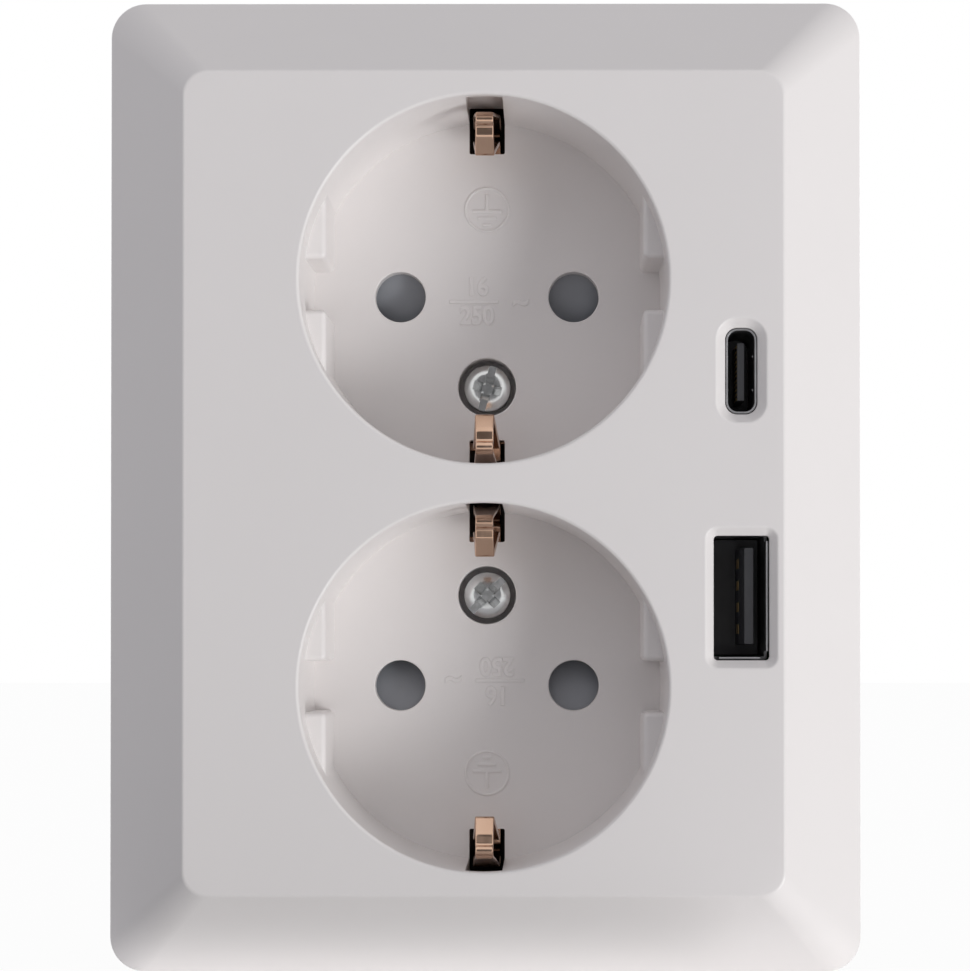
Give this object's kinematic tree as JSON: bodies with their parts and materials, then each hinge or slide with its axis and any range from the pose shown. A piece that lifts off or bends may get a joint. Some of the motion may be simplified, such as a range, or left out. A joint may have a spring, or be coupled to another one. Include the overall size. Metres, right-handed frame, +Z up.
{
  "type": "usb wall socket",
  "caption": "Double wall socket with side earth clips and two charging ports in one bevelled white cover, on a steel frame with a moulded base.",
  "frame": {"origin": "centre of the mounting frame's screw pattern, in the plane of the wall", "axes": "+Y into the wall, +Z up, +X right as seen from the room; the front faces -Y"},
  "size_m": [0.08, 0.0395, 0.1034],
  "materials": {
    "white_plastic": "glossy moulded",
    "base_plastic": "matte moulded",
    "insert_plastic": "matte moulded",
    "shutter_plastic": "satin moulded",
    "copper": "bright rolled copper alloy",
    "contact_brass": "rolled brass",
    "zinc_steel": "zinc plated",
    "frame_steel": "zinc plated sheet",
    "spring_steel": "drawn wire",
    "port_steel": "nickel plated sheet",
    "port_black": "satin moulded",
    "pad_gold": "gold plated",
    "board_green": "solder resist",
    "ferrite": "pressed ferrite",
    "winding_tape": "tape",
    "can_sleeve": "shrunk sleeve",
    "fuse_body": "moulded",
    "lead_sleeve": "insulation"
  },
  "bodies": {
    "socket_body": {"board_header": "port_black", "board_spacers": "insert_plastic", "charger_leads": "lead_sleeve", "contact_cover": "insert_plastic", "control_chip": "port_black", "cover_screws": "zinc_steel", "earth_clamp_spring": "spring_steel", "earth_link": "copper", "frame_rivets": "zinc_steel", "front_cover": "white_plastic", "input_capacitor": "can_sleeve", "insert_screws": "zinc_steel", "line_fuse": "fuse_body", "live_clamp_spring": "spring_steel", "live_contact_bar": "contact_brass", "lower_earth_clip": "copper", "lower_shutter_spring": "spring_steel", "mounting_frame": "frame_steel", "neutral_clamp_spring": "spring_steel", "neutral_contact_bar": "contact_brass", "output_capacitor": "can_sleeve", "port_board": "board_green", "power_board": "board_green", "rear_base": "base_plastic", "rectifier": "port_black", "transformer_core": "ferrite", "transformer_winding": "winding_tape", "upper_earth_clip": "copper", "upper_shutter_spring": "spring_steel", "usb_a_contacts": "pad_gold", "usb_a_shell": "port_steel", "usb_a_tongue": "port_black", "usb_c_contacts": "pad_gold", "usb_c_shell": "port_steel", "usb_c_tongue": "port_black"},
    "upper_shutter": {"upper_shutter": "shutter_plastic"},
    "lower_shutter": {"lower_shutter": "shutter_plastic"}
  },
  "joints": [
    {"name": "upper_shutter_slide", "type": "slide", "parent": "socket_body", "child": "upper_shutter", "axis": [0, 0, 1], "range_m": [0, 0.007], "stiffness_N_per_m": 200, "springref_m": -0.005, "deforming": ["upper_shutter_spring"]},
    {"name": "lower_shutter_slide", "type": "slide", "parent": "socket_body", "child": "lower_shutter", "axis": [0, 0, -1], "range_m": [0, 0.007], "stiffness_N_per_m": 200, "springref_m": -0.005, "deforming": ["lower_shutter_spring"]}
  ]
}
